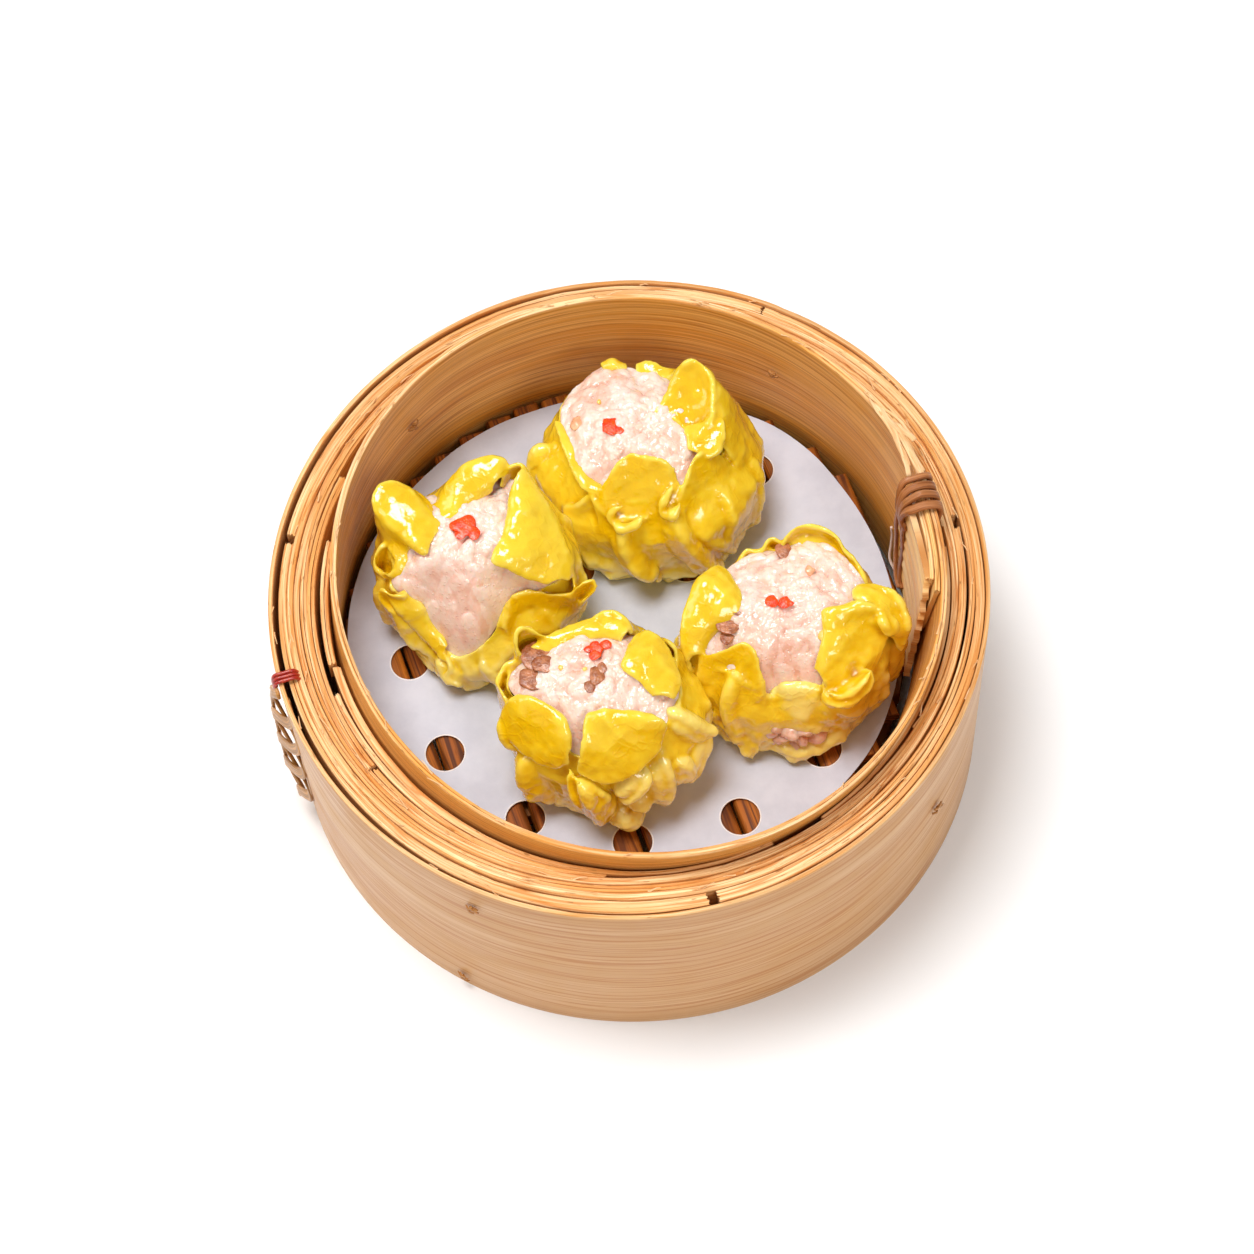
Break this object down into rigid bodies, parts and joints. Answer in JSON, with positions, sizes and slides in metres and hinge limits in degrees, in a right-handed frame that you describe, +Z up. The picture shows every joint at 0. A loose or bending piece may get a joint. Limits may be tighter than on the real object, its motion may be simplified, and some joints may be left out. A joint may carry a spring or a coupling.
{
  "type": "siu mai in bamboo steamer",
  "caption": "Open-topped pleated pork dumplings on a pierced paper liner in a round laced bamboo steamer basket.",
  "frame": {"origin": "centre of the basket's foot, on the surface it stands on", "axes": "+Z up, -Y towards the side the picture was taken from, +X to its right"},
  "size_m": [0.15, 0.15, 0.0668],
  "materials": {
    "pale_bamboo": "smooth split bamboo, fine horizontal grain, matt",
    "split_bamboo": "split bamboo strip, end grain showing along the top edge",
    "warm_bamboo": "bent bamboo ply, warm brown, low sheen",
    "steamed_bamboo": "dark brown steamed bamboo, damp",
    "liner_paper": "greaseproof paper, matt, faintly fibrous",
    "egg_wrapper": "soft egg-yellow wheat wrapper, moist and glossy",
    "minced_filling": "moist minced pork and prawn, pale pink",
    "brown_cane": "split cane, brown, satin",
    "red_wire": "dark red coated wire"
  },
  "bodies": {
    "root": {"cross_rib_far": "steamed_bamboo", "cross_rib_near": "steamed_bamboo", "filling_back": "minced_filling", "filling_front": "minced_filling", "filling_left": "minced_filling", "filling_right": "minced_filling", "hoop_1_back": "split_bamboo", "hoop_1_front": "split_bamboo", "hoop_1_right": "split_bamboo", "hoop_2": "split_bamboo", "hoop_3": "split_bamboo", "hoop_4": "split_bamboo", "inner_lap": "warm_bamboo", "inner_ring": "warm_bamboo", "lashing_tail": "brown_cane", "lashing_turn_1": "brown_cane", "lashing_turn_2": "brown_cane", "lashing_turn_3": "brown_cane", "ledge_1": "steamed_bamboo", "ledge_2": "steamed_bamboo", "ledge_3": "steamed_bamboo", "ledge_4": "steamed_bamboo", "outer_wall": "pale_bamboo", "packing_strip_inner": "split_bamboo", "packing_strip_outer": "split_bamboo", "paper_liner": "liner_paper", "red_wire": "red_wire", "side_lacing": "brown_cane", "slat_01": "steamed_bamboo", "slat_02": "steamed_bamboo", "slat_03": "steamed_bamboo", "slat_04": "steamed_bamboo", "slat_05": "steamed_bamboo", "slat_06": "steamed_bamboo", "slat_07": "steamed_bamboo", "slat_08": "steamed_bamboo", "slat_09": "steamed_bamboo", "slat_10": "steamed_bamboo", "slat_11": "steamed_bamboo", "slat_12": "steamed_bamboo", "slat_13": "steamed_bamboo", "slat_14": "steamed_bamboo", "slat_15": "steamed_bamboo", "slat_16": "steamed_bamboo", "slat_17": "steamed_bamboo", "slat_18": "steamed_bamboo", "stitch_front_high": "brown_cane", "stitch_front_low": "brown_cane", "stitch_inside_left": "brown_cane", "stitch_inside_right": "brown_cane", "stitch_right": "brown_cane", "wrapper_back": "egg_wrapper", "wrapper_front": "egg_wrapper", "wrapper_left": "egg_wrapper", "wrapper_right": "egg_wrapper"}
  },
  "joints": []
}
